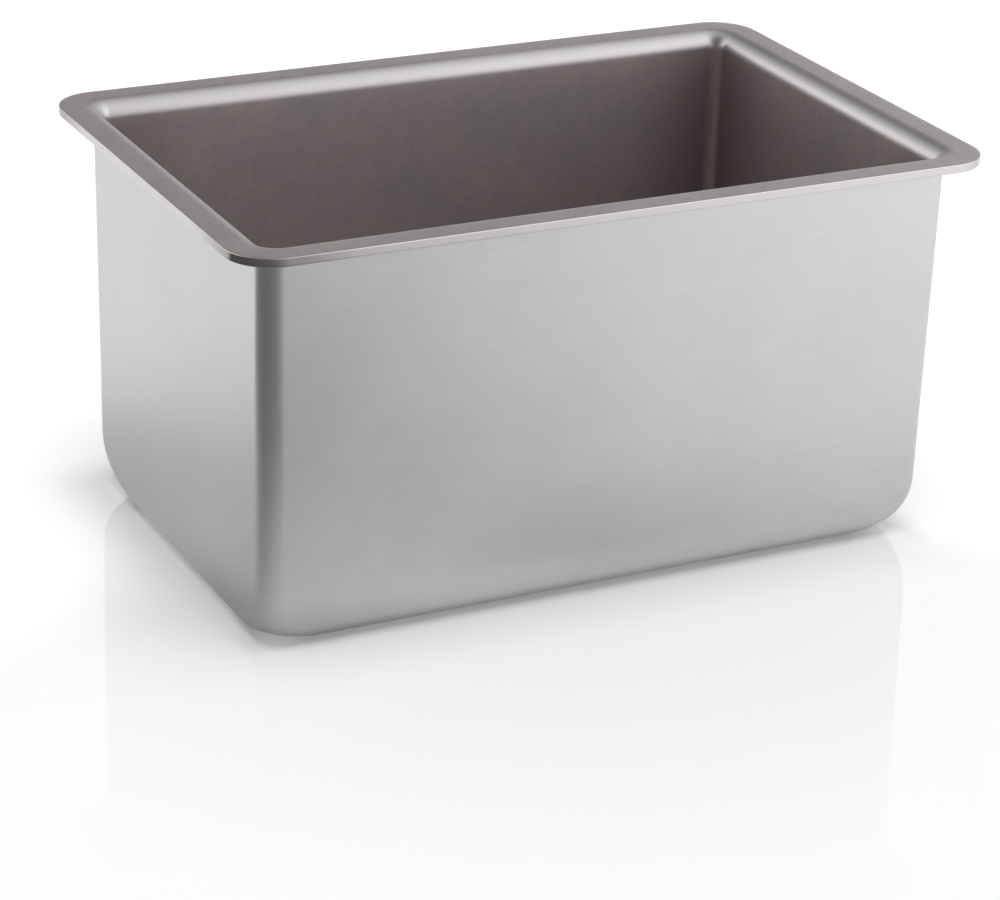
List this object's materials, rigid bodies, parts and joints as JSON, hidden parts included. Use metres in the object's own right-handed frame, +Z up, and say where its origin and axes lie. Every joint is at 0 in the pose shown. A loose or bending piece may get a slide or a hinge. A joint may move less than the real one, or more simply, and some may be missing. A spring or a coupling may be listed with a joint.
{
  "type": "loaf pan",
  "caption": "Deep rectangular loaf pan for rye bread, satin metal outside, with rounded corners, a flat flange and a brown-grey non-stick lining.",
  "frame": {"origin": "middle of the footprint, on the surface that the pan stands on", "axes": "+X along the pan's length, +Y along its width, +Z up out of its mouth"},
  "size_m": [0.225, 0.1466, 0.1173],
  "materials": {
    "satin_metal": "fine satin-brushed bare metal",
    "nonstick_coating": "semi-gloss brown-grey non-stick polymer coating"
  },
  "bodies": {
    "root": {"pan_body": "satin_metal", "nonstick_lining": "nonstick_coating"}
  },
  "joints": []
}
